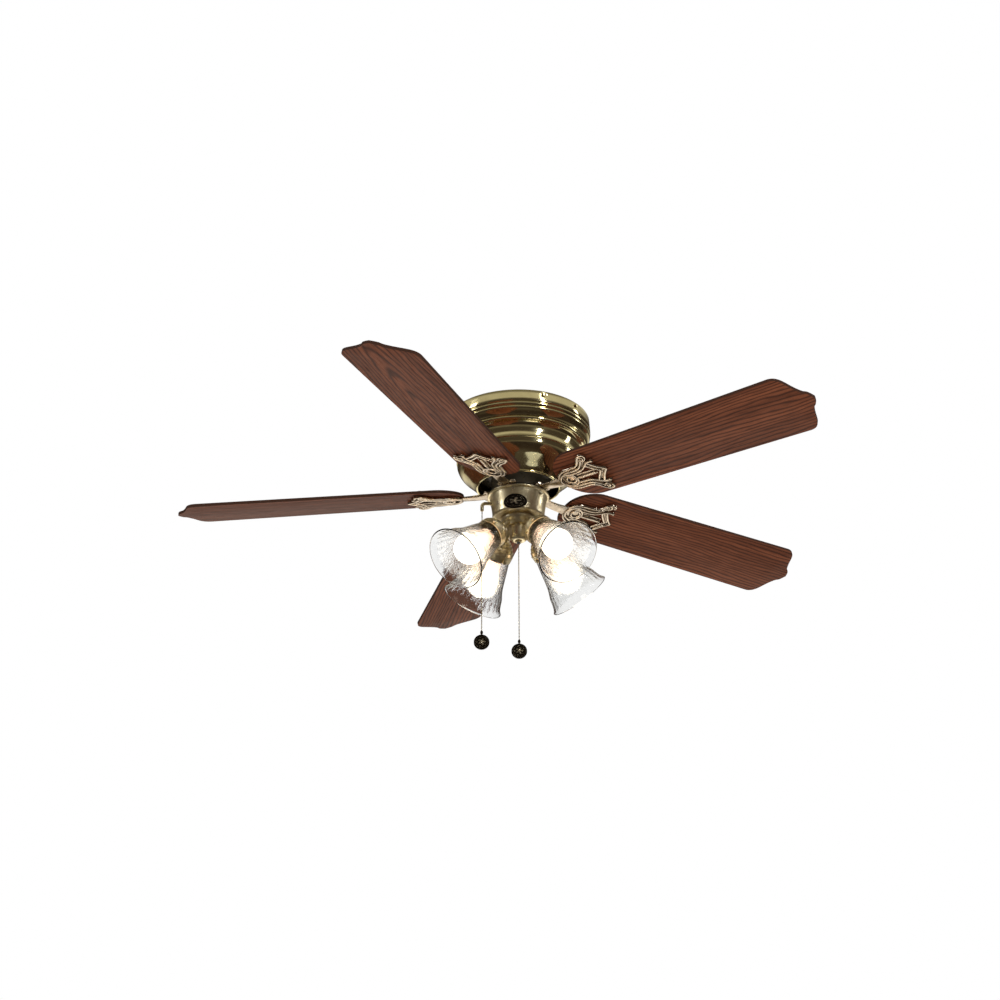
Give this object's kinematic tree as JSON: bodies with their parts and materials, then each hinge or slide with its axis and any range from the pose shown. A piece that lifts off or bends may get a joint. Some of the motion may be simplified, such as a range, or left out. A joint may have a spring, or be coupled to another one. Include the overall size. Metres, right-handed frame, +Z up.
{
  "type": "ceiling fan with light",
  "caption": "Flush-mount ceiling fan in polished brass with walnut blades on cast scroll irons, a lamp kit with clear rippled glass bells, and pull chains with round fobs.",
  "frame": {"origin": "on the fan's axis, at the ceiling (the top face of the mounting plate)", "axes": "+Z up along the axis of rotation, -Y towards the front, where the medallion is"},
  "size_m": [1.2227, 1.2537, 0.4895],
  "materials": {
    "zinc_steel": "zinc plated, satin",
    "bearing_steel": "ground",
    "cast_aluminium": "die cast, painted black",
    "laminated_iron": "stacked laminations",
    "enamelled_wire": "enamelled copper",
    "cast_brass": "cast, polished on the ridges and darker in the hollows",
    "polished_brass": "polished and lacquered",
    "walnut_blade": "walnut grain, satin lacquer",
    "red_fibre": "matte",
    "antique_bronze": "blackened, bright on the relief",
    "black_plastic": "moulded",
    "clear_glass": "clear, rippled",
    "frosted_bulb": "frosted, lit",
    "ball_chain": "plated ball chain"
  },
  "bodies": {
    "fixture": {"mounting_plate": "zinc_steel", "hanger_bracket": "zinc_steel", "bracket_screws": "zinc_steel", "canopy": "polished_brass", "canopy_screws": "polished_brass", "motor_housing": "polished_brass", "motor_shaft": "bearing_steel", "shaft_nuts": "zinc_steel", "stator_core": "laminated_iron", "stator_windings": "enamelled_wire", "bearing_inner_races": "bearing_steel", "switch_plate": "zinc_steel", "switch_housing": "polished_brass", "switch_housing_screws": "polished_brass", "medallion": "antique_bronze", "capacitor": "black_plastic", "speed_switch": "black_plastic", "speed_chain_bushing": "polished_brass", "reverse_switch": "black_plastic", "fitter_body": "polished_brass", "fitter_nipple": "polished_brass", "lamp_arms": "polished_brass", "shade_holder_1": "polished_brass", "shade_holder_2": "polished_brass", "shade_holder_3": "polished_brass", "shade_holder_4": "polished_brass", "lamp_sockets": "black_plastic", "glass_shade_1": "clear_glass", "glass_shade_2": "clear_glass", "glass_shade_3": "clear_glass", "glass_shade_4": "clear_glass", "light_bulbs": "frosted_bulb", "thumbscrews": "polished_brass", "bottom_cap": "polished_brass", "cap_nut": "polished_brass", "light_switch": "black_plastic"},
    "rotor": {"bearing_outer_races": "bearing_steel", "rotor_ring": "laminated_iron", "rotor_cover_upper": "cast_aluminium", "rotor_cover_lower": "cast_aluminium", "rotor_screws": "zinc_steel", "blade_iron_1": "cast_brass", "blade_iron_2": "cast_brass", "blade_iron_3": "cast_brass", "blade_iron_4": "cast_brass", "blade_iron_5": "cast_brass", "blade_1": "walnut_blade", "blade_2": "walnut_blade", "blade_3": "walnut_blade", "blade_4": "walnut_blade", "blade_5": "walnut_blade", "iron_screws": "zinc_steel", "blade_screws": "polished_brass", "blade_washers": "red_fibre"},
    "bearing_cages": {"bearing_balls": "bearing_steel"},
    "speed_pull": {"speed_chain": "ball_chain", "speed_fob": "antique_bronze"},
    "light_pull": {"light_chain": "ball_chain", "light_fob": "antique_bronze"},
    "reverse_switch_slider": {"reverse_slider": "black_plastic"}
  },
  "joints": [
    {"name": "rotor_spin", "type": "hinge", "parent": "fixture", "child": "rotor", "pos_m": [0, 0, -0.09], "axis": [0, 0, 1], "continuous": true},
    {"name": "cage_spin", "type": "hinge", "parent": "fixture", "child": "bearing_cages", "pos_m": [0, 0, -0.09], "axis": [0, 0, 1], "continuous": true},
    {"name": "speed_chain_pull", "type": "slide", "parent": "fixture", "child": "speed_pull", "axis": [0, 0, -1], "range_m": [0, 0.008], "stiffness_N_per_m": 600, "springref_m": -0.012},
    {"name": "light_chain_pull", "type": "slide", "parent": "fixture", "child": "light_pull", "axis": [0, 0, -1], "range_m": [0, 0.008], "stiffness_N_per_m": 600, "springref_m": -0.012},
    {"name": "reverse_switch_slide", "type": "slide", "parent": "fixture", "child": "reverse_switch_slider", "axis": [0, 0, -1], "range_m": [0, 0.005]}
  ],
  "couplings": [
    {"joint": "cage_spin", "follows": "rotor_spin", "ratio": 0.6}
  ]
}
